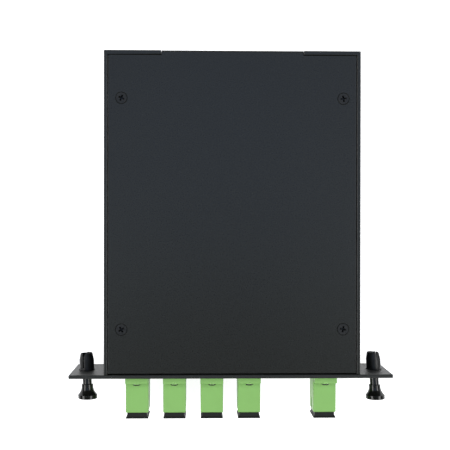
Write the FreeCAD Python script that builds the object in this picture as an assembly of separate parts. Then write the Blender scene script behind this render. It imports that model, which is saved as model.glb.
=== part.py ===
import FreeCAD, Part
import math
import os

V = FreeCAD.Vector
os.makedirs("parts", exist_ok=True)

# A slide-in fibre splitter cassette: one input and four outputs behind a flat front panel.
# Millimetres. X runs along the panel, Y from the panel to the rear, Z up from the underside.
# x = 0 is the middle of the panel, y = 0 the middle of the case's depth, z = 0 its underside.

# Folded sheet case
panel_width = 130.0
panel_thick = 1.5
case_height = 29.0
ear_reach = 13.65  # the panel's ends past the case, on average
case_width = panel_width - 2 * ear_reach
case_depth = 131.1  # front face of the panel to the rear face
case_offset = 0.38  # the case sits a little to the right of the panel's middle
sheet = 1.4  # 1.2 mm steel with its powder coat
bend_inner = 0.6
flange_reach = 4.5  # front flanges that the panel is spot welded to
flange_clear = 1.0  # from the lid down to the flanges' upper ends

# Inset lid
lid_side_gap = 0.4
lid_front_gap = 0.6
lid_rear_gap = 0.5
lip_width = 57.0  # notch in the rear wall that the lid's rear lip drops into
lip_end_gap = 0.15
lip_foot_gap = 0.4
lip_depth = 12.0
lip_setback = 0.03
lip_corner = 0.7

# Lid screws and the tabs that they go into
screw_inset = 7.0  # from the case's side
screw_front = 19.7  # behind the panel's front face
screw_rear = 19.1  # in front of the rear face
screw_head_radius = 2.45
screw_cone_depth = 1.1
screw_land = 0.25  # straight edge of the head, which leaves a dark ring in the countersink's mouth
screw_length = 8.0
screw_seat_clear = 0.03
screw_hole_clear = 0.03
recess_span = 2.5
recess_foot = 1.1
recess_width = 0.7
recess_depth = 1.6
screw_turns = (-23.0, 10.0, 31.0, -12.0)
tab_reach = 10.0
tab_length = 12.0
tab_leg = 8.0

# Adapters, upright in a row of six places with one left blank
adapter_inset = 13.25  # from the case's side to the first place
adapter_pitch = (case_width - 2 * adapter_inset) / 5
adapter_half_steps = (-5, -3, -1, 1, 5)  # in half pitches from the middle
adapter_drift = (-0.13, -0.13, -0.13, -0.13, 0.33)  # how each one sits beside its even place
adapter_height_centre = 14.5
adapter_width = 9.2
adapter_tall = 12.9
adapter_front = 15.2  # in front of the panel's front face
adapter_length = 28.5
adapter_wall = 0.8
adapter_edge = 0.2
adapter_mouth_break = 0.25
adapter_cutout_clear = 0.1
collar_length = 3.6
collar_rise = 0.1
collar_ledge = 0.55
collar_step = 0.3
window_width = 3.1
window_length = 0.6
window_ends = 0.3
keyway_width = 2.2
keyway_length = 5.0

# Flats round the small pieces: hidden ones, the plugs' boots and the countersunk heads
hidden_sides = 8
boot_sides = 12
head_sides = 20

# Latch insert and split sleeve in each adapter
insert_clear = 0.05
insert_flange = 1.2
holder_radius = 2.35
holder_half = 6.4
sleeve_radius = 1.6
sleeve_bore = 1.255
sleeve_length = 11.4
sleeve_slit = 0.5
sleeve_clear = 0.05
holder_lip = 1.35
arm_width = 5.2
arm_thick = 0.75
arm_reach = 8.8
hook_length = 1.6
hook_height = 0.45

# Spring clip that holds each adapter in the panel
clip_sheet = 0.3
clip_clear = 0.05
clip_length = 4.4
clip_drop = 9.5
wing_spread = 1.2
wing_tall = 6.0

# Dust cap in each adapter's front
cap_clear = 0.1
cap_plug = 3.0
cap_wall = 0.9
cap_neck_width = 8.0
cap_neck_tall = 12.0
cap_neck_length = 0.95
cap_flare_length = 0.9
cap_rim_width = 9.1
cap_rim_tall = 13.0
cap_rim_length = 0.45

# Angled plug in each adapter's rear
plug_width = 7.4
plug_tall = 9.0
plug_length = 24.0
plug_front = 0.9  # behind the adapter's middle
plug_edge = 0.5
plug_clear = 0.05
ferrule_radius = 1.245
ferrule_length = 11.0
ferrule_flange_radius = 1.9
ferrule_flange_length = 2.0
ferrule_angle = 8.0
boot_length = 19.0
boot_root_radius = 2.5
boot_tip_radius = 1.3

# Push-in panel latches: a slotted grommet and a plunger that is shown pulled out
latch_inset = 5.4  # from the panel's ends, on average
latch_offset = 0.24  # the pair sits a little to the right of the panel's middle
grommet_flange_radius = 4.1
grommet_flange_length = 1.5
grommet_root_radius = 3.3
grommet_root = 0.2  # the thicker root stands this far out of the panel's rear face
grommet_radius = 3.0
grommet_barrel = 4.2
grommet_tip_radius = 2.45
grommet_tip_length = 2.85
grommet_hole_clear = 0.08
slit_width = 0.6
slit_root = 0.9
slit_turn = 38.0
stem_radius = 1.87
stem_clear = 0.08
stem_tip = 5.0  # behind the panel's front face, once the plunger is pulled to the left one's place
plunger_pull = (4.45, 5.0)  # knob's neck in front of the panel's front face, left and right
knob_neck_radius = 2.42
knob_rim_radius = 3.98
knob_flare = ((1.1, 0.0), (2.3, 0.15), (3.3, 0.46), (4.4, 1.0))  # distance from the neck, share of the spread
knob_length = 6.1
knob_break = 0.3

# Splitter module on edge in its holder
splitter_length = 60.0
splitter_thick = 4.0
splitter_tall = 7.0
splitter_wall = 0.4
splitter_corner = 0.8
splitter_inset = 21.1  # in front of the rear face
seal_length = 2.0
chip_length = 24.0
chip_size = 2.3
chip_block = 6.0
chip_waist = 1.8
holder_plate = 1.0
holder_length = 44.0
holder_width = 14.0
finger_length = 8.0
finger_thick = 1.0
finger_lip = 0.4
finger_clear = 0.05

# Fibres in their 0.9 mm jackets
fibre_radius = 0.45
fibre_hole_clear = 0.08
fibre_sides = 6  # flats round each thin jacket
bend_step = math.radians(18)  # most that a jacket turns at one mitre
level_pitch = 1.2
lane_inset = 7.35  # from the case's side to the fibres that run beside it
exit_corner = 10.0
fan_corner = 15.0
fan_leave = (0.44, 0.455, 0.47, 0.485)  # share of the way from the boots to the splitter
fan_reach = (0.21, 0.225, 0.24, 0.255)
clip_slot_clear = 0.2
clip_wall = 0.8
clip_mouth = 0.35
clip_pad_width = 7.0
clip_pad_length = 5.0
clip_lead = 14.5  # in front of the splitter


# Places that follow from the sizes
panel_front = -case_depth / 2


def behind(distance):
    return panel_front + distance


panel_rear = behind(panel_thick)
screw_shank_radius = screw_head_radius - screw_cone_depth
shank_ring = screw_shank_radius - screw_seat_clear
rear_face = behind(case_depth)
case_left = case_offset - case_width / 2
case_right = case_offset + case_width / 2
inner_left = case_left + sheet
inner_right = case_right - sheet
inner_rear = rear_face - sheet
lid_top = case_height
lid_under = case_height - sheet
adapter_y0 = behind(-adapter_front)
adapter_y1 = adapter_y0 + adapter_length
adapter_middle = (adapter_y0 + adapter_y1) / 2
adapter_xs = [
    half_steps * adapter_pitch / 2 + drift for half_steps, drift in zip(adapter_half_steps, adapter_drift)
]
adapter_z = adapter_height_centre


# Shapes used throughout
def block(x0, x1, y0, y1, z0, z1):
    return Part.makeBox(x1 - x0, y1 - y0, z1 - z0, V(x0, y0, z0))


def bar(width, tall, y0, y1, x=0.0, z=0.0):
    return block(x - width / 2, x + width / 2, y0, y1, z - tall / 2, z + tall / 2)


def rod(radius, y0, y1, x=0.0, z=0.0):
    return Part.makeCylinder(radius, y1 - y0, V(x, y0, z), V(0, 1, 0))


def ring_of_corners(radius, sides, y):
    # the corners of a regular section across Y, flat side up
    step = 2 * math.pi / sides
    corners = []
    for index in range(sides):
        angle = (index + 0.5) * step
        corners.append(V(radius * math.sin(angle), y, radius * math.cos(angle)))
    return corners


def flat_face(corners):
    return Part.Face(Part.makePolygon(corners + corners[:1]))


def solid_through(rings):
    # flat-sided solid through rings of corners
    faces = [flat_face(rings[0]), flat_face(rings[-1])]
    for near, far in zip(rings, rings[1:]):
        for index in range(len(near)):
            before = index - 1
            faces.append(flat_face([near[before], near[index], far[index], far[before]]))
    solid = Part.makeSolid(Part.makeShell(faces))
    if solid.Volume < 0:
        solid.reverse()
    return solid


def tapered(stations, sides):
    # regular sections, written as (radius, y) stations
    return solid_through([ring_of_corners(radius, sides, y) for radius, y in stations])


def hidden_rod(radius, y0, y1):
    return tapered(((radius, y0), (radius, y1)), hidden_sides)


def sunk(solid, x, y, top):
    # a solid made along Y is stood on end, and its y then counts down from the top
    solid.rotate(V(0, 0, 0), V(1, 0, 0), -90)
    solid.translate(V(x, y, top))
    return solid


def edges_where(shape, test):
    return [edge for edge in shape.Edges if test(edge)]


def runs_along(edge, axis):
    ends = [vertex.Point for vertex in edge.Vertexes]
    if len(ends) < 2:
        return False
    step = ends[1].sub(ends[0])
    return abs(abs(step.dot(axis)) - step.Length) < 1e-6 * step.Length


def rounded(shape, radius, test):
    return shape.makeFillet(radius, edges_where(shape, test))


def bevelled(shape, size, test):
    return shape.makeChamfer(size, edges_where(shape, test))


def outline(points):
    # a closed face of (across, along) points; a point written as a pair of points is an arc
    here = V(points[0][0], points[0][1], 0)
    start = here
    edges = []
    for point in points[1:]:
        if isinstance(point[0], tuple):
            through = V(point[0][0], point[0][1], 0)
            there = V(point[1][0], point[1][1], 0)
            edges.append(Part.Arc(here, through, there).toShape())
        else:
            there = V(point[0], point[1], 0)
            edges.append(Part.makeLine(here, there))
        here = there
    edges.append(Part.makeLine(here, start))
    return Part.Face(Part.Wire(edges))


def turned(points, x=0.0, z=0.0):
    # a turned solid: (radius, y) points spun about a line along Y
    solid = outline(points).revolve(V(0, 0, 0), V(0, 1, 0), 360)
    solid.translate(V(x, 0, z))
    return solid


def prism_along_x(points, x0, x1):
    # (y, z) points made solid from x0 to x1
    face = flat_face([V(x0, y, z) for y, z in points])
    return face.extrude(V(x1 - x0, 0, 0))


def prism_along_z(points, z0, z1):
    face = flat_face([V(x, y, z0) for x, y in points])
    return face.extrude(V(0, 0, z1 - z0))


def save(name, *solids):
    shape = solids[0] if len(solids) == 1 else Part.makeCompound(list(solids))
    shape.exportStep("parts/" + name + ".step")


# Tray: base, side walls and rear wall folded up, with welded tabs and front flanges
def screw_places():
    for y in (rear_face - screw_rear, behind(screw_front)):
        for side in (-1, 1):
            yield side, case_offset + side * (case_width / 2 - screw_inset), y


def tray():
    along_x = V(1, 0, 0)
    along_y = V(0, 1, 0)
    outer = block(case_left, case_right, panel_rear, rear_face, 0, case_height)
    outer = rounded(
        outer,
        sheet + bend_inner,
        lambda e: e.CenterOfMass.z < 1e-6
        and (runs_along(e, along_y) or (runs_along(e, along_x) and e.CenterOfMass.y > 0)),
    )
    inner = block(inner_left, inner_right, panel_rear - 1, inner_rear, sheet, case_height + 1)
    inner = rounded(
        inner,
        bend_inner,
        lambda e: e.CenterOfMass.z < sheet + 1e-6
        and (runs_along(e, along_y) or (runs_along(e, along_x) and e.CenterOfMass.y > 0)),
    )
    notch = block(
        case_offset - lip_width / 2,
        case_offset + lip_width / 2,
        inner_rear - 1,
        rear_face + 1,
        case_height - lip_depth,
        case_height + 1,
    )
    body = outer.cut(inner).cut(notch)
    flange_top = lid_under - flange_clear
    flange_y = panel_rear + sheet
    body = body.fuse(block(case_left, inner_left + flange_reach, panel_rear, flange_y, sheet, flange_top))
    body = body.fuse(block(inner_right - flange_reach, case_right, panel_rear, flange_y, sheet, flange_top))
    for side, x, y in screw_places():
        wall = inner_left if side < 0 else inner_right
        tip = wall - side * tab_reach
        leg = wall - side * sheet
        y0, y1 = y - tab_length / 2, y + tab_length / 2
        top = lid_under
        body = body.fuse(block(min(wall, tip), max(wall, tip), y0, y1, top - sheet, top))
        body = body.fuse(block(min(wall, leg), max(wall, leg), y0, y1, top - tab_leg, top))
        hole = hidden_rod(shank_ring + screw_hole_clear, -sheet, 2 * sheet)
        body = body.cut(sunk(hole, x, y, top))
    return body.removeSplitter()


# Lid: a flat cover with a rear lip folded down into the notch
def lid():
    left = inner_left + lid_side_gap
    right = inner_right - lid_side_gap
    front = panel_rear + lid_front_gap
    rear = inner_rear - lid_rear_gap
    lip_rear = rear_face - lip_setback
    half = lip_width / 2 - lip_end_gap
    plate = block(left, right, front, rear, lid_under, lid_top)
    x0, x1 = case_offset - half, case_offset + half
    foot = case_height - lip_depth + lip_foot_gap
    lip = block(x0, x1, rear - 1, lip_rear, lid_under, lid_top)
    lip = lip.fuse(block(x0, x1, lip_rear - sheet, lip_rear, foot, lid_top)).removeSplitter()
    lip = rounded(
        lip,
        lip_corner,
        lambda e: runs_along(e, V(1, 0, 0))
        and e.CenterOfMass.z > lid_top - 1e-6
        and e.CenterOfMass.y > lip_rear - 1e-6,
    )
    body = plate.fuse(lip)
    wide = screw_head_radius + screw_seat_clear
    narrow = screw_shank_radius + screw_seat_clear
    countersink = ((wide, 0), (narrow, screw_cone_depth), (narrow, sheet))
    for side, x, y in screw_places():
        body = body.cut(sunk(tapered(countersink, head_sides), x, y, lid_top))
    return body.removeSplitter()


def lid_screws():
    # countersunk screws with a cross recess, each turned as it was left
    head_radius = screw_head_radius - screw_land
    head_stations = ((head_radius, 0), (head_radius, screw_land), (screw_shank_radius, screw_cone_depth))
    for (side, x, y), turn in zip(screw_places(), screw_turns):
        head = tapered(head_stations, head_sides)
        screw = sunk(head.fuse(hidden_rod(shank_ring, screw_cone_depth, screw_length)), x, y, lid_top)
        wing = [
            (y - recess_span / 2, lid_top + 1),
            (y - recess_span / 2, lid_top),
            (y - recess_foot / 2, lid_top - recess_depth),
            (y + recess_foot / 2, lid_top - recess_depth),
            (y + recess_span / 2, lid_top),
            (y + recess_span / 2, lid_top + 1),
        ]
        for quarter in (0, 90):
            slot = prism_along_x(wing, x - recess_width / 2, x + recess_width / 2)
            slot.rotate(V(x, y, 0), V(0, 0, 1), turn + quarter)
            screw = screw.cut(slot)
        yield screw.removeSplitter()


# Front panel with the adapter cut-outs and the latch holes
def latch_places():
    for index, side in enumerate((-1, 1)):
        yield index, latch_offset + side * (panel_width / 2 - latch_inset)


def front_panel():
    body = block(-panel_width / 2, panel_width / 2, panel_front, panel_rear, 0, case_height)
    wide = adapter_width + 2 * adapter_cutout_clear
    tall = adapter_tall + 2 * adapter_cutout_clear
    for x in adapter_xs:
        body = body.cut(bar(wide, tall, panel_front - 1, panel_rear + 1, x, adapter_z))
    for index, x in latch_places():
        hole = grommet_root_radius + grommet_hole_clear
        body = body.cut(rod(hole, panel_front - 1, panel_rear + 1, x, adapter_z))
    return body


# Adapter housing: a square tube with a collar against the panel, keyways and latch windows
def adapter_housing():
    along_y = V(0, 1, 0)
    body = bar(adapter_width, adapter_tall, adapter_y0, adapter_y1)
    mouths = (adapter_y0, adapter_y1)
    ends = bevelled(body, adapter_mouth_break, lambda e: any(abs(e.CenterOfMass.y - y) < 1e-6 for y in mouths))
    body = bevelled(body, adapter_edge, lambda e: runs_along(e, along_y)).common(ends)
    wide = adapter_width + 2 * collar_rise
    tall = adapter_tall + 2 * collar_rise
    collar_front = panel_front - collar_length
    body = body.fuse(bar(wide, tall - 2 * collar_step, collar_front, panel_front))
    body = body.fuse(bar(wide - 2 * collar_ledge, tall, collar_front, panel_front))
    bore_wide = adapter_width - 2 * adapter_wall
    bore_tall = adapter_tall - 2 * adapter_wall
    body = body.cut(bar(bore_wide, bore_tall, adapter_y0 - 1, adapter_y1 + 1))
    window_y = panel_front - collar_length
    half = window_width / 2
    window = outline(
        [
            (half, window_y),
            (-half, window_y),
            (-half, window_y - window_ends),
            ((0, window_y - window_length), (half, window_y - window_ends)),
        ]
    )
    window.translate(V(0, 0, -adapter_tall))
    body = body.cut(window.extrude(V(0, 0, 2 * adapter_tall)))
    side = -(adapter_width - adapter_wall) / 2
    body = body.cut(bar(2 * adapter_wall, keyway_width, adapter_y0 - 1, adapter_y0 + keyway_length, side))
    body = body.cut(bar(2 * adapter_wall, keyway_width, adapter_y1 - keyway_length, adapter_y1 + 1, side))
    return body.removeSplitter()


# Latch insert: a middle flange, the holder of the split sleeve and two pairs of hooked arms
def adapter_insert():
    mid = adapter_middle
    wide = adapter_width - 2 * adapter_wall - 2 * insert_clear
    tall = adapter_tall - 2 * adapter_wall - 2 * insert_clear
    body = bar(wide, tall, mid - insert_flange / 2, mid + insert_flange / 2)
    body = body.fuse(hidden_rod(holder_radius, mid - holder_half, mid + holder_half))
    outer = tall / 2
    inner = outer - arm_thick
    for end in (-1, 1):
        for side in (-1, 1):
            arm = [
                (mid, side * outer),
                (mid, side * inner),
                (mid + end * (arm_reach - hook_length), side * inner),
                (mid + end * (arm_reach - hook_length), side * (inner - hook_height)),
                (mid + end * (arm_reach - hook_length / 3), side * (inner - hook_height)),
                (mid + end * arm_reach, side * inner),
                (mid + end * arm_reach, side * outer),
            ]
            body = body.fuse(prism_along_x(arm, -arm_width / 2, arm_width / 2))
    half = sleeve_length / 2 + sleeve_clear
    body = body.cut(hidden_rod(sleeve_radius + sleeve_clear, mid - half, mid + half))
    body = body.cut(hidden_rod(holder_lip, mid - holder_half - 1, mid + holder_half + 1))
    return body.removeSplitter()


def alignment_sleeve():
    # ceramic tube slit along its length
    y0, y1 = adapter_middle - sleeve_length / 2, adapter_middle + sleeve_length / 2
    tube = hidden_rod(sleeve_radius, y0, y1).cut(hidden_rod(sleeve_bore, y0 - 1, y1 + 1))
    return tube.cut(bar(sleeve_slit, 2 * sleeve_radius, y0 - 1, y1 + 1, 0, sleeve_radius))


def adapter_clip():
    # a strap over the housing with a leg and a sprung wing down each side, behind the panel
    y0 = panel_rear + clip_clear
    y1 = y0 + clip_length
    half = adapter_width / 2 + clip_clear
    top = adapter_tall / 2 + clip_clear
    strap = block(-half - clip_sheet, half + clip_sheet, y0, y1, top, top + clip_sheet)
    for side in (-1, 1):
        near, far = side * half, side * (half + clip_sheet)
        leg = block(min(near, far), max(near, far), y0, y1, top - clip_drop, top + clip_sheet)
        wing = [
            (near, y1),
            (far, y1),
            (far + side * wing_spread, y0 + clip_sheet),
            (far + side * wing_spread, y0),
            (far + side * (wing_spread - clip_sheet), y0),
            (near, y1 - clip_sheet),
        ]
        low = top - clip_drop + 1
        strap = strap.fuse(leg).fuse(prism_along_z(wing, low, low + wing_tall))
    return strap.removeSplitter()


# Dust cap: a hollow plug, a neck and a flared rim to pull it by
def dust_cap():
    mouth = adapter_y0
    seat = mouth - cap_clear
    wide = adapter_width - 2 * adapter_wall - 2 * cap_clear
    tall = adapter_tall - 2 * adapter_wall - 2 * cap_clear
    neck_end = seat - cap_neck_length
    rim_end = neck_end - cap_flare_length
    body = bar(cap_neck_width, cap_neck_tall, neck_end, seat)
    steps = 3
    grow_wide = cap_rim_width - cap_neck_width
    grow_tall = cap_rim_tall - cap_neck_tall
    sections = []
    for step in range(steps + 1):
        along = step / steps
        share = 1 - math.sqrt(max(0.0, 1 - along * along))
        w = (cap_neck_width + grow_wide * share) / 2
        t = (cap_neck_tall + grow_tall * share) / 2
        y = neck_end - along * cap_flare_length
        corners = [V(-w, y, -t), V(w, y, -t), V(w, y, t), V(-w, y, t), V(-w, y, -t)]
        sections.append(Part.makePolygon(corners))
    body = body.fuse(Part.makeLoft(sections, True, True))
    body = body.fuse(bar(cap_rim_width, cap_rim_tall, rim_end - cap_rim_length, rim_end))
    plug = bar(wide, tall, seat, mouth + cap_plug)
    hollow = bar(wide - 2 * cap_wall, tall - 2 * cap_wall, seat, mouth + cap_plug + 1)
    return body.fuse(plug.cut(hollow)).removeSplitter()


# Angled plug behind the panel: body, ferrule and boot
def plug_body():
    y0 = adapter_middle + plug_front
    y1 = y0 + plug_length
    body = bar(plug_width, plug_tall, y0, y1)
    body = bevelled(body, plug_edge, lambda e: runs_along(e, V(0, 1, 0)))
    pocket = adapter_middle + holder_half + 3 * plug_clear
    body = body.cut(hidden_rod(holder_radius + 5 * plug_clear, y0 - 1, pocket))
    ferrule_end = adapter_middle + ferrule_length
    body = body.cut(hidden_rod(ferrule_flange_radius + plug_clear, y0, ferrule_end + plug_clear))
    body = body.cut(hidden_rod(fibre_radius + fibre_hole_clear, y0, y1 + 1))
    bore_tall = adapter_tall - 2 * adapter_wall - 2 * insert_clear
    hook_tip = bore_tall / 2 - arm_thick - hook_height
    hook_y = adapter_middle + arm_reach - hook_length - 2 * plug_clear
    hook_end = adapter_middle + arm_reach + 2 * plug_clear
    for side in (-1, 1):
        z0, z1 = side * (hook_tip - plug_clear), side * (plug_tall / 2 + 1)
        half = arm_width / 2 + 2 * plug_clear
        body = body.cut(block(-half, half, hook_y, hook_end, min(z0, z1), max(z0, z1)))
    return body.removeSplitter()


def plug_ferrule():
    y1 = adapter_middle + ferrule_length
    body = hidden_rod(ferrule_radius, adapter_middle, y1)
    body = body.fuse(hidden_rod(ferrule_flange_radius, y1 - ferrule_flange_length, y1))
    wedge = bar(4 * ferrule_radius, 4 * ferrule_radius, adapter_middle - ferrule_radius, adapter_middle)
    wedge.rotate(V(0, adapter_middle, -ferrule_radius), V(1, 0, 0), -ferrule_angle)
    return body.cut(wedge).removeSplitter()


def plug_boot():
    y0 = adapter_middle + plug_front + plug_length
    y1 = y0 + boot_length
    root = y0 + boot_length / 4
    stations = ((boot_root_radius, y0), (boot_root_radius, root), (boot_tip_radius, y1))
    body = tapered(stations, boot_sides)
    return body.cut(hidden_rod(fibre_radius + fibre_hole_clear, y0 - 1, y1 + 1))


# Panel latches
def latch_grommet(x):
    front = panel_front - grommet_flange_length
    barrel_end = panel_rear + grommet_barrel
    tip_end = barrel_end + grommet_tip_length
    bore = stem_radius + stem_clear
    flange = grommet_flange_radius
    profile = [
        (bore, front),
        (flange, front),
        (flange, panel_front),
        (grommet_root_radius, panel_front),
        (grommet_root_radius, panel_rear + grommet_root),
        (grommet_radius, panel_rear + grommet_root),
        (grommet_radius, barrel_end),
        (grommet_tip_radius, tip_end),
        (bore, tip_end),
    ]
    body = turned(profile, x, adapter_z)
    for quarter in (0, 90):
        slit = bar(slit_width, 3 * grommet_radius, panel_rear + slit_root, tip_end + 1, x, adapter_z)
        slit.rotate(V(x, 0, adapter_z), V(0, 1, 0), slit_turn + quarter)
        body = body.cut(slit)
    return body.removeSplitter()


def latch_plunger(x, pull):
    neck = panel_front - pull
    tip = behind(stem_tip) - (pull - plunger_pull[0])
    end = neck - knob_length
    spread = knob_rim_radius - knob_neck_radius
    flare = [(knob_neck_radius + spread * share, neck - distance) for distance, share in knob_flare]
    profile = [
        (0, tip),
        (stem_radius, tip),
        (stem_radius, neck),
        (knob_neck_radius, neck),
        *flare,
        (knob_rim_radius, end + knob_break),
        (knob_rim_radius - knob_break, end),
        (0, end),
    ]
    return turned(profile, x, adapter_z)


# Splitter module: a steel sleeve with a seal at each end, the waveguide chip inside and its holder
splitter_y = rear_face - splitter_inset
splitter_floor = sheet + holder_plate
splitter_z = splitter_floor + splitter_tall / 2
splitter_x0 = case_offset - splitter_length / 2
splitter_x1 = case_offset + splitter_length / 2


def splitter_bar(x0, x1, thick, tall, corner):
    y, z = splitter_y, splitter_z
    body = block(x0, x1, y - thick / 2, y + thick / 2, z - tall / 2, z + tall / 2)
    return bevelled(body, corner, lambda e: runs_along(e, V(1, 0, 0)))


def splitter_case():
    outer = splitter_bar(splitter_x0, splitter_x1, splitter_thick, splitter_tall, splitter_corner)
    inner = splitter_bar(
        splitter_x0 - 1,
        splitter_x1 + 1,
        splitter_thick - 2 * splitter_wall,
        splitter_tall - 2 * splitter_wall,
        splitter_corner - splitter_wall,
    )
    return outer.cut(inner)


def splitter_seal(x0, x1, levels):
    body = splitter_bar(
        x0,
        x1,
        splitter_thick - 2 * splitter_wall,
        splitter_tall - 2 * splitter_wall,
        splitter_corner - splitter_wall,
    )
    for z in levels:
        hole = hidden_rod(fibre_radius + fibre_hole_clear, x0 - 1, x1 + 1)
        hole.rotate(V(0, 0, 0), V(0, 0, 1), -90)
        hole.translate(V(0, splitter_y, z))
        body = body.cut(hole)
    return body


def waveguide_chip():
    # fibre block, chip and fibre block bonded end to end, glued to the sleeve's floor
    floor = splitter_floor + splitter_wall
    y0, y1 = splitter_y - chip_size / 2, splitter_y + chip_size / 2
    x0, x1 = case_offset - chip_length / 2, case_offset + chip_length / 2
    body = block(x0, x1, splitter_y - chip_waist / 2, splitter_y + chip_waist / 2, floor, floor + chip_waist)
    body = body.fuse(block(x0, x0 + chip_block, y0, y1, floor, floor + chip_size))
    body = body.fuse(block(x1 - chip_block, x1, y0, y1, floor, floor + chip_size))
    return body.removeSplitter()


def splitter_holder():
    plate_half = holder_width / 2
    body = block(
        case_offset - holder_length / 2,
        case_offset + holder_length / 2,
        splitter_y - plate_half,
        splitter_y + plate_half,
        sheet,
        splitter_floor,
    )
    near = splitter_thick / 2 + finger_clear
    top = splitter_floor + splitter_tall + finger_clear
    for end in (-1, 1):
        x_far = case_offset + end * holder_length / 2
        x_near = x_far - end * finger_length
        for side in (-1, 1):
            finger = [
                (splitter_y + side * near, splitter_floor),
                (splitter_y + side * near, top),
                (splitter_y + side * (near - finger_lip), top),
                (splitter_y + side * near, top + 2 * finger_lip),
                (splitter_y + side * (near + finger_thick), top + 2 * finger_lip),
                (splitter_y + side * (near + finger_thick), splitter_floor),
            ]
            body = body.fuse(prism_along_x(finger, min(x_near, x_far), max(x_near, x_far)))
    return body.removeSplitter()


# Fibres: straight runs joined by bends, stacked out of the splitter and fanned out to the plugs
def path_points(stops):
    # stops are (point, bend radius); each bend becomes short straight steps that touch its arc
    points = [V(*stop[0]) for stop in stops]
    path = points[:1]
    for before, at, after, stop in zip(points, points[1:], points[2:], stops[1:]):
        heading = (at - before).normalize()
        following = (after - at).normalize()
        angle = heading.getAngle(following)
        steps = math.ceil(angle / bend_step)
        arc_start = at - heading * (stop[1] * math.tan(angle / 2))
        axis = heading.cross(following).normalize()
        centre = arc_start + axis.cross(heading) * stop[1]
        corner = arc_start - centre + heading * (stop[1] * math.tan(angle / steps / 2))
        for index in range(steps):
            turn = FreeCAD.Rotation(axis, math.degrees(index * angle / steps))
            path.append(centre + turn.multVec(corner))
    return path + points[-1:]


def jacket_along(name, stops):
    # a thin flat-sided jacket, mitred wherever its path turns
    path = path_points(stops)
    headings = [(far - near).normalize() for near, far in zip(path, path[1:])]
    across = V(0, 0, 1).cross(headings[0]).normalize()
    up = headings[0].cross(across)
    ring = []
    for index in range(fibre_sides):
        angle = 2 * math.pi * (index + 0.5) / fibre_sides
        ring.append(path[0] + across * (fibre_radius * math.cos(angle)) + up * (fibre_radius * math.sin(angle)))
    rings = [ring]
    for at, heading, following in zip(path[1:], headings, headings[1:] + headings[-1:]):
        mitre = (heading + following).normalize()
        ring = [corner + heading * ((at - corner).dot(mitre) / heading.dot(mitre)) for corner in ring]
        rings.append(ring)
    length = sum((far - near).Length for near, far in zip(path, path[1:]))
    print(f"{name}: {length:.0f} mm long")
    return solid_through(rings)


plug_entry = adapter_middle + ferrule_length + 2 * plug_clear
boot_end = adapter_middle + plug_front + plug_length + boot_length
output_levels = [splitter_z + step * level_pitch for step in (-1.5, -0.5, 0.5, 1.5)]
left_lane = case_left + lane_inset
right_lane = case_right - lane_inset


def fan_y(share):
    return boot_end + share * (splitter_y - boot_end)


def output_fibre(index):
    z = output_levels[index]
    return jacket_along(
        f"output {index + 1}",
        [
            ((splitter_x0 + seal_length, splitter_y, z), 0),
            ((left_lane, splitter_y, z), exit_corner),
            ((left_lane, fan_y(fan_leave[index]), z), fan_corner),
            ((adapter_xs[index], fan_y(fan_reach[index]), adapter_z), fan_corner),
            ((adapter_xs[index], plug_entry, adapter_z), 0),
        ],
    )


def input_fibre():
    return jacket_along(
        "input",
        [
            ((splitter_x1 - seal_length, splitter_y, splitter_z), 0),
            ((right_lane, splitter_y, splitter_z), exit_corner),
            ((right_lane, fan_y(fan_leave[0]), splitter_z), fan_corner),
            ((adapter_xs[-1], fan_y(fan_reach[0]), adapter_z), fan_corner),
            ((adapter_xs[-1], plug_entry, adapter_z), 0),
        ],
    )


# A stick-on clip round the fibres on each side
def fibre_clip(x):
    slot = fibre_radius + clip_slot_clear
    top = output_levels[-1] + slot
    half = clip_pad_length / 2
    body = block(-clip_pad_width / 2, clip_pad_width / 2, -half, half, sheet, sheet + holder_plate)
    body = body.fuse(block(-slot - clip_wall, -slot, -half, half, sheet, top + clip_wall))
    body = body.fuse(block(slot, slot + clip_wall, -half, half, sheet, top))
    body = body.fuse(block(-slot - clip_wall, slot - clip_mouth, -half, half, top, top + clip_wall))
    body.translate(V(x, splitter_y - clip_lead, 0))
    return body.removeSplitter()


# Write every piece
save("tray", tray())
save("lid", lid())
save("lid_screws", *lid_screws())
save("front_panel", front_panel())

adapter_pieces = {
    "adapter_housing": adapter_housing(),
    "adapter_insert": adapter_insert(),
    "alignment_sleeve": alignment_sleeve(),
    "adapter_clip": adapter_clip(),
    "dust_cap": dust_cap(),
    "plug_body": plug_body(),
    "plug_ferrule": plug_ferrule(),
    "plug_boot": plug_boot(),
}
port_names = ["output_1", "output_2", "output_3", "output_4", "input"]
for port, x in zip(port_names, adapter_xs):
    for name, piece in adapter_pieces.items():
        save(name + "_" + port, piece.translated(V(x, 0, adapter_z)))

for index, x in latch_places():
    side_name = ("left", "right")[index]
    save("latch_grommet_" + side_name, latch_grommet(x))
    save("latch_plunger_" + side_name, latch_plunger(x, plunger_pull[index]))

save("splitter_case", splitter_case())
save("splitter_seal_output", splitter_seal(splitter_x0, splitter_x0 + seal_length, output_levels))
save("splitter_seal_input", splitter_seal(splitter_x1 - seal_length, splitter_x1, [splitter_z]))
save("waveguide_chip", waveguide_chip())
save("splitter_holder", splitter_holder())
save("fibre_clips", fibre_clip(left_lane), fibre_clip(right_lane))
save("input_pigtail", input_fibre())
for index in range(4):
    save("output_pigtail_" + str(index + 1), output_fibre(index))
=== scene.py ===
import math
import bmesh
import bpy
from mathutils import Matrix, Vector


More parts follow.
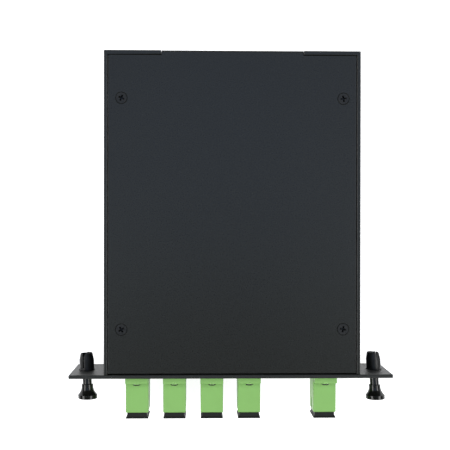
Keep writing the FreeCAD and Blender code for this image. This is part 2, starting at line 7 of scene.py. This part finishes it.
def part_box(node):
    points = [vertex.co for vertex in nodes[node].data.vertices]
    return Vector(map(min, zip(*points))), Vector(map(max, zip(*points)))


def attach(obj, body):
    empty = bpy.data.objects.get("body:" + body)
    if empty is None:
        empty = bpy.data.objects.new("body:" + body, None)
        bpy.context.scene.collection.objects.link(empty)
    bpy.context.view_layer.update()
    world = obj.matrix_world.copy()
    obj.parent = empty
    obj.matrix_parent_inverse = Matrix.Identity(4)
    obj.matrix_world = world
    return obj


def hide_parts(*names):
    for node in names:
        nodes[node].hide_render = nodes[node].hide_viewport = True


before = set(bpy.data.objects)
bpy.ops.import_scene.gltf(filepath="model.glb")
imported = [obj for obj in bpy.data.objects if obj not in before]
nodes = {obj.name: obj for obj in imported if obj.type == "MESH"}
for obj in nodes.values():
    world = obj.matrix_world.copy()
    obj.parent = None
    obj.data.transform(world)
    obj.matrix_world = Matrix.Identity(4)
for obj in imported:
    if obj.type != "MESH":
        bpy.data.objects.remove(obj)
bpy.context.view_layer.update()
mm = 0.001
print("frame loaded,", len(nodes), "pieces")


# Camera: nearly straight down, rear edge of the cassette at the top of the picture
photoCamera = {
    "place": (-11.72, -2.13, 392.51),  # mm
    "turn": (-0.00109, 0.02493, 0.00547),  # about Z, Y and X, radians
    "lens": 72.86,
    "sensor": 36,
    "clip": (0.01, 10),  # m
}


def makeCamera(look):
    data = bpy.data.cameras.new("camera")
    data.lens = look["lens"]
    data.sensor_width = look["sensor"]
    data.clip_start, data.clip_end = look["clip"]
    camera = bpy.data.objects.new("camera", data)
    bpy.context.scene.collection.objects.link(camera)
    aboutZ, aboutY, aboutX = look["turn"]
    turn = Matrix.Rotation(aboutZ, 3, "Z") @ Matrix.Rotation(aboutY, 3, "Y") @ Matrix.Rotation(aboutX, 3, "X")
    camera.matrix_world = Matrix.Translation(Vector(look["place"]) * mm) @ turn.transposed().to_4x4()
    bpy.context.scene.camera = camera


makeCamera(photoCamera)


# Materials
def linear(*colour):
    # screen colour out of 255 to the linear values that the shader wants
    share = [value / 255 for value in colour]
    return [c / 12.92 if c <= 0.04045 else ((c + 0.055) / 1.055) ** 2.4 for c in share] + [1.0]


class Shader:
    def __init__(self, name):
        self.material = bpy.data.materials.new(name)
        self.material.use_nodes = True
        self.tree = self.material.node_tree
        self.principled = self.tree.nodes["Principled BSDF"]
        self.place = self.add("ShaderNodeTexCoord").outputs["Object"]

    def add(self, kind, **settings):
        node = self.tree.nodes.new(kind)
        for key, value in settings.items():
            setattr(node, key, value)
        return node

    def join(self, output, target):
        self.tree.links.new(output, target)

    def noise(self, scale, detail=3.0, roughness=0.5, stretch=None):
        node = self.add("ShaderNodeTexNoise")
        node.inputs["Scale"].default_value = scale
        node.inputs["Detail"].default_value = detail
        node.inputs["Roughness"].default_value = roughness
        if stretch:
            mapping = self.add("ShaderNodeMapping")
            mapping.inputs["Scale"].default_value = stretch
            self.join(self.place, mapping.inputs["Vector"])
            self.join(mapping.outputs["Vector"], node.inputs["Vector"])
        else:
            self.join(self.place, node.inputs["Vector"])
        return node.outputs["Fac"]

    def ranged(self, value, low, high, fromLow=0.3, fromHigh=0.7):
        node = self.add("ShaderNodeMapRange")
        for key, number in (("From Min", fromLow), ("From Max", fromHigh), ("To Min", low), ("To Max", high)):
            node.inputs[key].default_value = number
        self.join(value, node.inputs["Value"])
        return node.outputs["Result"]

    def mixed(self, share, first, second, blend="MIX"):
        # the sockets by number, since the node has several of one name
        node = self.add("ShaderNodeMix", data_type="RGBA", blend_type=blend)
        for socket, value in ((node.inputs[0], share), (node.inputs[6], first), (node.inputs[7], second)):
            if isinstance(value, bpy.types.NodeSocket):
                self.join(value, socket)
            else:
                socket.default_value = value
        return node.outputs[2]

    def bump(self, height, distance):
        node = self.add("ShaderNodeBump")
        node.inputs["Strength"].default_value = 1.0
        node.inputs["Distance"].default_value = distance
        self.join(height, node.inputs["Height"])
        self.join(node.outputs["Normal"], self.principled.inputs["Normal"])

    def surface(self, colour, roughness):
        self.join(colour, self.principled.inputs["Base Color"])
        self.join(roughness, self.principled.inputs["Roughness"])


def shaded(colour, share):
    return [min(1.0, value * share) for value in colour[:3]] + [1.0]


# Fine-textured powder coat: a grain of small lumps, a slow cloudiness and a rare pale fleck
powderCoat = {
    "colour": linear(32, 33, 30),
    "grainScale": 2100,
    "grainDepth": 0.00002,
    "mottle": 0.34,
    "cloudScale": 22,
    "cloud": 0.04,
    "fleckScale": 260,
    "fleckSize": (0.027, 0.045),  # pale all over, and faded out
    "fleckLight": 2.4,  # times the coat's own colour
    "roughness": (0.26, 0.34),
    "specular": 0.35,
}


def makePowderCoat(name, look):
    shader = Shader(name)
    grain = shader.noise(look["grainScale"], detail=2.0, roughness=0.6)
    cloud = shader.noise(look["cloudScale"], detail=2.0)
    dark = shaded(look["colour"], 1 - look["mottle"])
    light = shaded(look["colour"], 1 + look["mottle"])
    colour = shader.mixed(shader.ranged(grain, 0.0, 1.0), dark, light)
    veiled = shader.mixed(1.0, colour, shaded([1, 1, 1], 1 - 2 * look["cloud"]), "MULTIPLY")
    colour = shader.mixed(shader.ranged(cloud, 0.0, 1.0), colour, veiled)
    fleck = shader.add("ShaderNodeTexVoronoi")
    fleck.inputs["Scale"].default_value = look["fleckScale"]
    shader.join(shader.place, fleck.inputs["Vector"])
    isFleck = shader.ranged(fleck.outputs["Distance"], 1.0, 0.0, *look["fleckSize"])
    colour = shader.mixed(isFleck, colour, shaded(look["colour"], look["fleckLight"]))
    shader.surface(colour, shader.ranged(grain, *look["roughness"]))
    shader.principled.inputs["Specular IOR Level"].default_value = look["specular"]
    shader.bump(grain, look["grainDepth"])
    return shader.material


# Moulded plastics: nearly even colour, soft sheen and a faint moulding texture
def plastic(colour, roughness, mottle, scale, depth, specular=0.5):
    return {
        "colour": linear(*colour),
        "roughness": roughness,
        "mottle": mottle,
        "scale": scale,
        "depth": depth,
        "specular": specular,
    }


plastics = {
    "adapterGreen": plastic((135, 185, 102), (0.36, 0.46), 0.025, 140, 0.000006),
    "capBlack": plastic((32, 33, 31), (0.5, 0.65), 0.1, 500, 0.00001, 0.2),
    "latchNylon": plastic((32, 33, 33), (0.32, 0.42), 0.12, 420, 0.00001, 0.28),
    "knobBlack": plastic((15, 16, 14), (0.15, 0.21), 0.12, 380, 0.000003, 0.32),
    "insertDark": plastic((46, 48, 46), (0.4, 0.5), 0.06, 300, 0.000005),
    "plugGreen": plastic((86, 164, 92), (0.36, 0.46), 0.03, 200, 0.000006),
    "bootGreen": plastic((70, 140, 78), (0.55, 0.7), 0.05, 500, 0.00001, 0.4),
    "ceramic": plastic((240, 240, 236), (0.12, 0.2), 0.01, 300, 0.000001, 0.6),
    "clipWhite": plastic((228, 228, 224), (0.45, 0.55), 0.03, 300, 0.000006),
    "sealBlack": plastic((30, 30, 31), (0.6, 0.75), 0.1, 400, 0.00001, 0.4),
    "jacketWhite": plastic((236, 236, 232), (0.35, 0.45), 0.02, 500, 0.000004),
    "jacketBlue": plastic((28, 84, 170), (0.35, 0.45), 0.04, 500, 0.000004),
    "jacketOrange": plastic((230, 120, 30), (0.35, 0.45), 0.04, 500, 0.000004),
    "jacketGreen": plastic((30, 140, 70), (0.35, 0.45), 0.04, 500, 0.000004),
    "jacketBrown": plastic((110, 66, 38), (0.35, 0.45), 0.04, 500, 0.000004),
}


sheenScale = 0.4  # times the plastic's own scale
textureScale = 6


def makePlastic(name, look):
    shader = Shader(name)
    grain = shader.noise(look["scale"], detail=4.0, roughness=0.6)
    dark = shaded(look["colour"], 1 - look["mottle"])
    light = shaded(look["colour"], 1 + look["mottle"])
    colour = shader.mixed(shader.ranged(grain, 0.0, 1.0), dark, light)
    sheen = shader.noise(look["scale"] * sheenScale)
    shader.surface(colour, shader.ranged(sheen, *look["roughness"]))
    shader.principled.inputs["Specular IOR Level"].default_value = look["specular"]
    shader.bump(shader.noise(look["scale"] * textureScale, detail=2.0), look["depth"])
    return shader.material


# Bare metals: a drawn grain along the piece
metals = {
    "springSteel": {
        "colour": linear(196, 198, 200),
        "roughness": (0.22, 0.36),
        "stretch": (1, 14, 1),
        "scale": 300,
        "depth": 0.000002,
        "shade": 0.92,
    },
    "splitterSteel": {
        "colour": linear(205, 206, 208),
        "roughness": (0.25, 0.42),
        "stretch": (1, 20, 20),
        "scale": 150,
        "depth": 0.000002,
        "shade": 0.92,
    },
}


def makeMetal(name, look):
    shader = Shader(name)
    grain = shader.noise(look["scale"], roughness=0.6, stretch=look["stretch"])
    dark = shaded(look["colour"], look["shade"])
    colour = shader.mixed(shader.ranged(grain, 0.0, 1.0), dark, look["colour"])
    shader.surface(colour, shader.ranged(grain, *look["roughness"]))
    shader.principled.inputs["Metallic"].default_value = 1.0
    shader.bump(grain, look["depth"])
    return shader.material


chipGlass = {
    "colour": linear(205, 222, 220),
    "roughness": (0.04, 0.12),
    "scale": 500,
    "shade": 0.9,
    "transmission": 0.9,
}


def makeGlass(name, look):
    shader = Shader(name)
    haze = shader.noise(look["scale"])
    colour = shader.mixed(haze, look["colour"], shaded(look["colour"], look["shade"]))
    shader.surface(colour, shader.ranged(haze, *look["roughness"]))
    shader.principled.inputs["Transmission Weight"].default_value = look["transmission"]
    return shader.material


coats = {
    "powderCoat": powderCoat,
    "panelCoat": dict(powderCoat, colour=linear(35, 37, 35), roughness=(0.4, 0.52)),
    # the lid screws' coat is darker than the lid's: painted shade that stands in for the shadow in the
    # countersink gaps and cross recesses
    "screwCoatPaintedShade": dict(
        powderCoat, colour=linear(27, 28, 28), grainScale=900, fleckSize=(0.0, 0.0), roughness=(0.36, 0.5)
    ),
}
finishes = {"chipGlass": makeGlass("chipGlass", chipGlass)}
for finishName, look in coats.items():
    finishes[finishName] = makePowderCoat(finishName, look)
for finishName, look in plastics.items():
    finishes[finishName] = makePlastic(finishName, look)
for finishName, look in metals.items():
    finishes[finishName] = makeMetal(finishName, look)
print("materials made,", len(finishes))


# The finish of every piece of the frame, by the start of its name
nodeFinish = {
    "tray": "powderCoat",
    "lid": "powderCoat",
    "front_panel": "panelCoat",
    "lid_screws": "screwCoatPaintedShade",
    "adapter_housing": "adapterGreen",
    "adapter_insert": "insertDark",
    "alignment_sleeve": "ceramic",
    "adapter_clip": "springSteel",
    "dust_cap": "capBlack",
    "plug_body": "plugGreen",
    "plug_ferrule": "ceramic",
    "plug_boot": "bootGreen",
    "latch_grommet": "latchNylon",
    "latch_plunger": "knobBlack",
    "splitter_case": "splitterSteel",
    "splitter_seal": "sealBlack",
    "waveguide_chip": "chipGlass",
    "splitter_holder": "clipWhite",
    "fibre_clips": "clipWhite",
    "input_pigtail": "jacketWhite",
    "output_pigtail_1": "jacketBlue",
    "output_pigtail_2": "jacketOrange",
    "output_pigtail_3": "jacketGreen",
    "output_pigtail_4": "jacketBrown",
}
for name, node in nodes.items():
    start = max((key for key in nodeFinish if name.startswith(key)), key=len)
    node.data.materials.clear()
    node.data.materials.append(finishes[nodeFinish[start]])
print("frame dressed")


# Helpers for the new pieces
sharpAngle = 0.6  # radians between two faces
flatAngle = 0.01  # radians, flatter neighbours become one face
flatShare = 0.9999  # of a normal along one axis
weld = 1e-7  # m, closer points become one
sourceWeld = 1e-6  # m, the same in the frame's meshes
arcSteps = 5
mostOfSide = 0.49  # that a fillet may take


def asObject(bm, name):
    mesh = bpy.data.meshes.new(name)
    bm.to_mesh(mesh)
    bm.free()
    piece = bpy.data.objects.new(name, mesh)
    bpy.context.scene.collection.objects.link(piece)
    return piece


def finishPiece(bm, name, finish, body, replaced=None, squareFlats=False):
    bmesh.ops.recalc_face_normals(bm, faces=bm.faces)
    piece = asObject(bm, name)
    piece.data.shade_smooth()
    piece.data.set_sharp_from_angle(angle=sharpAngle)
    for face in piece.data.polygons:
        if squareFlats and max(abs(share) for share in face.normal) > flatShare:
            face.use_smooth = False
    piece.data.materials.append(finishes[finish])
    if replaced:
        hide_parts(replaced)
    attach(piece, body)


def gathered(parts):
    # one shape that holds all of them, as they are
    mesh = bpy.data.meshes.new("part")
    whole = bmesh.new()
    for part in parts:
        part.to_mesh(mesh)
        part.free()
        whole.from_mesh(mesh)
    bpy.data.meshes.remove(mesh)
    return whole


def combined(base, others, operation):
    first = asObject(base, "first")
    second = asObject(gathered(others), "second")
    change = first.modifiers.new("change", "BOOLEAN")
    change.operation = operation
    change.solver = "EXACT"
    change.object = second
    bm = bmesh.new()
    bm.from_object(first, bpy.context.evaluated_depsgraph_get())
    for spare in (first, second):
        bpy.data.objects.remove(spare, do_unlink=True)
    bmesh.ops.remove_doubles(bm, verts=bm.verts, dist=weld)
    return bm


def sourceShape(node):
    bm = bmesh.new()
    bm.from_mesh(nodes[node].data)
    bmesh.ops.remove_doubles(bm, verts=bm.verts, dist=sourceWeld)
    return bm


def nodeBox(name):
    # corners in mm, and the axis along Y through the middle
    low, high = (Vector(corner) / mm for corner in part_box(name))
    return low, high, Vector(((low.x + high.x) / 2, 0, (low.z + high.z) / 2))


def boxShape(low, high):
    bm = bmesh.new()
    bmesh.ops.create_cube(bm, size=1)
    for vert in bm.verts:
        vert.co = [(a + b) / 2 + share * (b - a) for a, b, share in zip(low, high, vert.co)]
    return bm


def inMetres(bm):
    bmesh.ops.scale(bm, vec=(mm, mm, mm), verts=bm.verts)
    return bm


def rounded(bm, edges, width, segments):
    bmesh.ops.bevel(
        bm, geom=edges, offset=width, affect="EDGES", segments=segments, profile=0.5, material=-1
    )


def filleted(corners):
    # corners as radius, y and fillet to points, with an arc in place of each corner that has a fillet
    points = []
    for index, (radius, along, fillet) in enumerate(corners):
        here = Vector((radius, along))
        if not fillet:
            points.append(here)
            continue
        before = Vector(corners[index - 1][:2]) - here
        after = Vector(corners[(index + 1) % len(corners)][:2]) - here
        half = before.angle(after) / 2
        reach = min(fillet / math.tan(half), before.length * mostOfSide, after.length * mostOfSide)
        centre = here + (before.normalized() + after.normalized()).normalized() * (reach / math.cos(half))
        first = here + before.normalized() * reach - centre
        last = here + after.normalized() * reach - centre
        turn = first.angle_signed(last)
        for step in range(arcSteps + 1):
            angle = -turn * step / arcSteps
            points.append(centre + Matrix.Rotation(angle, 2) @ first)
    return points


def spun(points, centre, steps=72, closed=False):
    # a turned shape about the line along Y through the centre; points and centre in mm
    bm = bmesh.new()
    ring = [bm.verts.new((max(radius, 0.0) * mm, along * mm, 0)) for radius, along in points]
    pairs = list(zip(ring, ring[1:]))
    if closed:
        pairs.append((ring[-1], ring[0]))
    edges = [bm.edges.new(pair) for pair in pairs]
    bmesh.ops.spin(
        bm, geom=ring + edges, cent=(0, 0, 0), axis=(0, 1, 0), angle=2 * math.pi, steps=steps, use_merge=True
    )
    bmesh.ops.remove_doubles(bm, verts=bm.verts, dist=weld)
    bmesh.ops.recalc_face_normals(bm, faces=bm.faces)
    bmesh.ops.translate(bm, verts=bm.verts, vec=centre * mm)
    return bm


# Sheet pieces: their edges are rounded by the coat. The cuts, an axis and a distance in from the low or
# high side, part a plain strip along each edge from the holes, so that the rounding leaves the flats flat.
# The coats are planes of the walls beside the lid, where the coat is thicker: axis, distance in and shift.
sheets = {
    "tray": {
        "finish": "powderCoat",
        "edge": 0.27,
        "cuts": [("y", 2.4), ("y", -2.4), ("z", -0.8)],
        "coats": [("x", 1.4, 0.1), ("x", -1.4, -0.1), ("y", -1.4, -0.3)],
    },
    "lid": {
        "finish": "powderCoat",
        "edge": 0.1,
        "cuts": [("x", 0.8), ("x", -0.8), ("y", 0.8), ("y", -2.7)],
        "coats": [],
    },
    "front_panel": {
        "finish": "panelCoat",
        "edge": 0.3,
        "cuts": [("x", 0.8), ("x", -0.8), ("z", 0.8), ("z", -0.8)],
        "coats": [],
    },
}
edgeSteps = 3
onPlane = 0.01  # mm
shortestRounded = 0.7  # mm, edges of holes are shorter
steep = 1.0  # radians, the edges between the facets of a hole are flatter


def makeSheet(node, look):
    bm = sourceShape(node)
    low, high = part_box(node)
    for axis, inset, shift in look["coats"]:
        index = "xyz".index(axis)
        place = (low if inset > 0 else high)[index] + inset * mm
        for vert in bm.verts:
            if abs(vert.co[index] - place) < onPlane * mm:
                vert.co[index] += shift * mm
    for axis, inset in look["cuts"]:
        along = Vector([float(axis == each) for each in "xyz"])
        place = (low if inset > 0 else high) + along * inset * mm
        geometry = bm.verts[:] + bm.edges[:] + bm.faces[:]
        cut = bmesh.ops.bisect_plane(bm, geom=geometry, dist=weld, plane_co=place, plane_no=along)
        for part in cut["geom_cut"]:
            if isinstance(part, bmesh.types.BMEdge):
                part.seam = True
    bmesh.ops.dissolve_limit(bm, angle_limit=flatAngle, verts=bm.verts, edges=bm.edges, delimit={"SEAM"})
    rims = []
    for edge in bm.edges:
        isLong = edge.calc_length() > shortestRounded * mm
        if edge.is_convex and edge.calc_face_angle() > steep and isLong:
            rims.append(edge)
    rounded(bm, rims, look["edge"] * mm, edgeSteps)
    bmesh.ops.dissolve_degenerate(bm, dist=sourceWeld, edges=bm.edges)
    finishPiece(bm, node + "_sheet", look["finish"], "cassette", node, squareFlats=True)


for sheetNode, look in sheets.items():
    makeSheet(sheetNode, look)
print("sheet pieces made")


# Latches: knobs pulled out in front of the panel and slotted barrels behind it
panelFront = nodeBox("front_panel")[0].y
panelThickness = 1.5
latches = {
    "left": {"lean": 0.032, "slitTurn": -21.0, "mouths": (1.3, 0.3, 0.2, 0.3), "shortSide": -1, "short": 0.3},
    "right": {"lean": 0.066, "slitTurn": 50.0, "mouths": (0.6, 0.3, 0.3, 0.3), "shortSide": 1, "short": 0.1},
}


def leaned(bm, pivot, lean, start=-math.inf):
    for vert in bm.verts:
        if vert.co.y > start * mm:
            vert.co.x -= lean * (vert.co.y - pivot * mm)


knob = {
    "stem": 1.87,
    "neck": 2.4,
    "rim": 3.98,
    "length": 6.1,
    "flareStart": 0.9,
    "flareEnd": 4.35,
    "flarePower": 2.2,
    "flareSteps": 14,
    "stemFillets": (0.3, 0.12),
    "neckFillet": 0.15,
    "rimFillet": 0.15,
    "endFillet": 0.3,
    "dome": 0.15,
}


def makeKnob(side, look, own):
    node = "latch_plunger_" + side
    low, high, middle = nodeBox(node)
    neck = low.y + look["length"]
    corners = [
        (0, high.y, 0),
        (look["stem"], high.y, look["stemFillets"][0]),
        (look["stem"], neck, look["stemFillets"][1]),
        (look["neck"], neck, look["neckFillet"]),
    ]
    for step in range(look["flareSteps"] + 1):
        share = step / look["flareSteps"]
        along = neck - look["flareStart"] - (look["flareEnd"] - look["flareStart"]) * share
        radius = look["neck"] + (look["rim"] - look["neck"]) * share ** look["flarePower"]
        corners.append((radius, along, look["rimFillet"] if share == 1 else 0))
    corners.append((look["rim"], low.y + look["dome"], look["endFillet"]))
    corners.append((look["rim"] / 2, low.y + look["dome"] / 4, 0))
    corners.append((0, low.y, 0))
    bm = spun(filleted(corners), middle)
    leaned(bm, panelFront, own["lean"])
    finishPiece(bm, "knob_" + side, "knobBlack", "latch_" + side, node)


barrel = {
    "flange": 4.1,
    "root": 3.12,
    "rootStep": (0.3, 0.15),
    "radius": 3.0,
    "tip": 2.42,
    "tipLength": 2.85,
    "bore": 2.15,
    "mouth": 2.4,  # leaves room for the leaning stem when it is pushed in
    "mouthFillet": 0.1,
    "flangeFillets": (0.35, 0.05),
    "rootFillet": 0.1,
    "shoulderFillet": 2.0,
    "tipFillets": (0.25, 0.1),
    "leanStart": 0.1,
}
slit = {"root": 0.9, "width": 0.5, "mouthDepth": 1.3, "past": 0.2, "reach": 5}


def slitShape(look, back, tip, mouth):
    # a slot from the axis outwards that changes its width towards the barrel's tip
    bm = bmesh.new()
    bmesh.ops.create_cube(bm, size=1)
    geometry = bm.faces[:] + bm.edges[:] + bm.verts[:]
    bmesh.ops.bisect_plane(bm, geom=geometry, plane_co=(0, 0, 0), plane_no=(0, 1, 0))
    width = min(look["width"], mouth)
    rows = [
        (width, back + look["root"]),
        (width, tip - look["mouthDepth"]),
        (mouth, tip + look["past"]),
    ]
    for vert in bm.verts:
        across, along = rows[round(2 * vert.co.y) + 1]
        vert.co = (vert.co.x * across, along, (vert.co.z + 0.5) * look["reach"])
    return inMetres(bm)


def makeBarrel(side, look, own):
    node = "latch_grommet_" + side
    low, high, middle = nodeBox(node)
    back = panelFront + panelThickness
    shoulder = high.y - look["tipLength"]
    step, slope = look["rootStep"]
    corners = [
        (look["mouth"], low.y, look["mouthFillet"]),
        (look["flange"], low.y, look["flangeFillets"][0]),
        (look["flange"], panelFront, look["flangeFillets"][1]),
        (look["root"], panelFront, 0),
        (look["root"], back + step, look["rootFillet"]),
        (look["radius"], back + step + slope, look["rootFillet"]),
        (look["radius"], shoulder, look["shoulderFillet"]),
        (look["tip"], high.y, look["tipFillets"][0]),
        (look["bore"], high.y, look["tipFillets"][1]),
        (look["bore"], back, 0),
    ]
    bm = spun(filleted(corners), middle, closed=True)
    for quarter, mouth in enumerate(own["mouths"]):
        cutter = slitShape(slit, back, high.y, mouth)
        turn = Matrix.Rotation(math.radians(own["slitTurn"] + 90 * quarter), 4, "Y")
        bmesh.ops.transform(cutter, matrix=Matrix.Translation(middle * mm) @ turn, verts=cutter.verts)
        bm = combined(bm, [cutter], "DIFFERENCE")
    # the legs on one side stop short
    for vert in bm.verts:
        past = vert.co.y / mm - shoulder
        if past > 0 and (vert.co.x - middle.x * mm) * own["shortSide"] > 0:
            vert.co.y -= own["short"] * past / look["tipLength"] * mm
    leaned(bm, back, own["lean"], back + look["leanStart"])
    finishPiece(bm, "barrel_" + side, "latchNylon", "cassette", node)


for latchSide, own in latches.items():
    makeKnob(latchSide, knob, own)
    makeBarrel(latchSide, barrel, own)
print("latches made")


# Adapters: the moulded flange stands out above and below the body as two ears, each with a domed screw
flange = {
    "width": 9.1,
    "thick": 2.8,
    "gap": 0.02,  # to the panel
    "reach": 3.65,  # beyond the collar
    "sunk": 0.4,
    "upright": (0.25, 4),  # the front's upright edges, rounding and steps
    "rims": (0.06, 2),
    "near": 0.1,  # counts as at the panel
    "seat": {"radius": 1.75, "rise": 0.22, "sunk": 0.5, "steps": 48},  # low round one under each screw
    # filled in, since the screw heads give that dark mark
    "recess": {"start": 3.6, "length": 0.75, "width": 3.3, "depth": 0.9, "skin": 0.09, "overlap": 0.1},
}
flangeScrew = {
    "radius": 1.5,
    "rim": 0.4,
    "dome": 0.3,
    "domeSteps": 8,
    "sunk": 0.3,
    "steps": 40,
    "fromTop": 1.65,
    "cross": {"length": 1.7, "width": 0.34, "depth": 0.35, "above": 1},
}


def screwCentre(middle, level, side):
    return Vector((middle.x, 0, level + side * (flange["reach"] - flangeScrew["fromTop"])))


def earShape(look, middle, level, side):
    low, high = sorted((level - side * look["sunk"], level + side * look["reach"]))
    half = look["width"] / 2
    face = panelFront - look["thick"]
    bm = boxShape((middle.x - half, face, low), (middle.x + half, panelFront - look["gap"], high))
    nearPanel = panelFront - look["near"]
    inFront = [edge for edge in bm.edges if all(vert.co.y < nearPanel for vert in edge.verts)]
    upright = [edge for edge in inFront if abs(edge.verts[0].co.x - edge.verts[1].co.x) < onPlane]
    rounded(bm, upright, *look["upright"])
    rims = []
    for edge in bm.edges:
        atEnds = all((vert.co.z - low) * (vert.co.z - high) > -onPlane for vert in edge.verts)
        atPanel = all(vert.co.y > nearPanel for vert in edge.verts)
        if atEnds and not atPanel and edge.calc_face_angle() > steep:
            rims.append(edge)
    rounded(bm, rims, *look["rims"])
    return inMetres(bm)


def fillShape(look, middle, level, side):
    skin = level - side * look["skin"]
    low, high = sorted((skin, skin - side * look["depth"]))
    half = look["width"] / 2
    start = panelFront - look["start"]
    end = start - look["length"]
    return inMetres(boxShape((middle.x - half, end, low), (middle.x + half, start + look["overlap"], high)))


def seatShape(look, face, centre):
    sunk = face + look["sunk"]
    top = face - look["rise"]
    return spun([(0, sunk), (look["radius"], sunk), (look["radius"], top), (0, top)], centre, look["steps"])


def makeShell(place, look):
    node = "adapter_housing_" + place
    low, high, middle = nodeBox(node)
    face = panelFront - look["thick"]
    additions = []
    for side, level in ((1, high.z), (-1, low.z)):
        additions.append(earShape(look, middle, level, side))
        additions.append(fillShape(look["recess"], middle, level, side))
        additions.append(seatShape(look["seat"], face, screwCentre(middle, level, side)))
    bm = combined(sourceShape(node), additions, "UNION")
    bmesh.ops.dissolve_limit(bm, angle_limit=flatAngle, verts=bm.verts, edges=bm.edges)
    name = "adapter_shell_" + place
    finishPiece(bm, name, "adapterGreen", "cassette", node, squareFlats=True)


def headShape(look, seat, centre):
    points = [(0, seat + look["sunk"]), (look["radius"], seat + look["sunk"])]
    for step in range(look["domeSteps"] + 1):
        angle = math.pi / 2 * step / look["domeSteps"]
        height = look["rim"] + look["dome"] * math.sin(angle)
        points.append((look["radius"] * math.cos(angle), seat - height))
    bm = spun(points, Vector((0, 0, 0)), look["steps"])
    cross = look["cross"]
    tip = seat - look["rim"] - look["dome"]
    for across, tall in ((cross["length"], cross["width"]), (cross["width"], cross["length"])):
        low = (-across / 2, tip - cross["above"], -tall / 2)
        high = (across / 2, tip + cross["depth"], tall / 2)
        arm = boxShape(low, high)
        bm = combined(bm, [inMetres(arm)], "DIFFERENCE")
    bmesh.ops.translate(bm, verts=bm.verts, vec=centre * mm)
    return bm


def makeFlangeScrews(place, look):
    low, high, middle = nodeBox("adapter_housing_" + place)
    seat = panelFront - flange["thick"] - flange["seat"]["rise"]
    heads = []
    for side, level in ((1, high.z), (-1, low.z)):
        heads.append(headShape(look, seat, screwCentre(middle, level, side)))
    finishPiece(gathered(heads), "flange_screws_" + place, "latchNylon", "cassette")


for place in ("output_1", "output_2", "output_3", "output_4", "input"):
    makeShell(place, flange)
    makeFlangeScrews(place, flangeScrew)
print("adapters made")


# Floor, world and lamps
studio = {
    "floorSize": 6.0,
    "floorDrop": 0.00005,  # m, keeps the floor out of the underside's own plane
    "floorColour": (0.86, 0.86, 0.86, 1.0),
    "floorRoughness": 0.9,
    "floorGlow": 0.9,
    "worldStrength": 0.12,
    # place and size in m, power and colour
    "lamps": {
        "leftPanel": ((-0.82, -0.08, 0.76), (0.44, 1.1), 9.5, (1, 1, 1)),
        "rightPanel": ((0.8, -0.08, 0.78), (0.44, 1.1), 9.5, (1, 1, 1)),
        "rearPanel": ((0.02, 0.2, 1.2), (0.8, 0.6), 1.48, (0.42, 0.6, 1)),
        "frontLeftPanel": ((-0.3, -0.15, 1.2), (0.3, 0.14), 0.2, (0.8, 0.95, 1)),
        "frontRightPanel": ((0.33, -0.15, 1.2), (0.3, 0.14), 0.2, (0.8, 0.95, 1)),
    },
}


def seenDirectly(tree):
    # one for what the camera, a reflection or a view through glass sees, and nothing for the light itself
    path = tree.nodes.new("ShaderNodeLightPath")
    total = path.outputs["Is Camera Ray"]
    for name in ("Is Glossy Ray", "Is Transmission Ray"):
        either = tree.nodes.new("ShaderNodeMath")
        either.operation = "MAXIMUM"
        tree.links.new(total, either.inputs[0])
        tree.links.new(path.outputs[name], either.inputs[1])
        total = either.outputs[0]
    return total


def makeFloor(look):
    bm = bmesh.new()
    bmesh.ops.create_grid(bm, x_segments=1, y_segments=1, size=look["floorSize"] / 2)
    bmesh.ops.translate(bm, verts=bm.verts, vec=(0, 0, -look["floorDrop"]))
    floor = asObject(bm, "floor")
    material = bpy.data.materials.new("floorWhite")
    material.use_nodes = True
    tree = material.node_tree
    principled = tree.nodes["Principled BSDF"]
    principled.inputs["Base Color"].default_value = look["floorColour"]
    principled.inputs["Roughness"].default_value = look["floorRoughness"]
    principled.inputs["Specular IOR Level"].default_value = 0.0
    principled.inputs["Emission Color"].default_value = (1, 1, 1, 1)
    glow = tree.nodes.new("ShaderNodeMath")
    glow.operation = "MULTIPLY"
    glow.inputs[1].default_value = look["floorGlow"]
    tree.links.new(seenDirectly(tree), glow.inputs[0])
    tree.links.new(glow.outputs[0], principled.inputs["Emission Strength"])
    floor.data.materials.append(material)


def makeWorld(look):
    world = bpy.data.worlds.new("studioWorld")
    bpy.context.scene.world = world
    world.use_nodes = True
    tree = world.node_tree
    background = tree.nodes["Background"]
    background.inputs["Color"].default_value = (1, 1, 1, 1)
    path = tree.nodes.new("ShaderNodeLightPath")
    strength = tree.nodes.new("ShaderNodeMapRange")
    strength.inputs["To Min"].default_value = look["worldStrength"]
    strength.inputs["To Max"].default_value = 1.0
    tree.links.new(path.outputs["Is Camera Ray"], strength.inputs["Value"])
    tree.links.new(strength.outputs["Result"], background.inputs["Strength"])


def makeLamps(look):
    for name, (place, size, power, colour) in look["lamps"].items():
        data = bpy.data.lights.new(name, "AREA")
        data.shape = "RECTANGLE"
        data.size, data.size_y = size
        data.energy = power
        data.color = colour
        lamp = bpy.data.objects.new(name, data)
        bpy.context.scene.collection.objects.link(lamp)
        away = Vector(place).normalized()
        across = Vector((0, 1, 0)).cross(away).normalized()
        turn = Matrix((across, away.cross(across), away)).transposed()
        lamp.matrix_world = Matrix.Translation(place) @ turn.to_4x4()


makeFloor(studio)
makeWorld(studio)
makeLamps(studio)
bpy.context.scene.view_settings.view_transform = "Standard"
print("studio set")
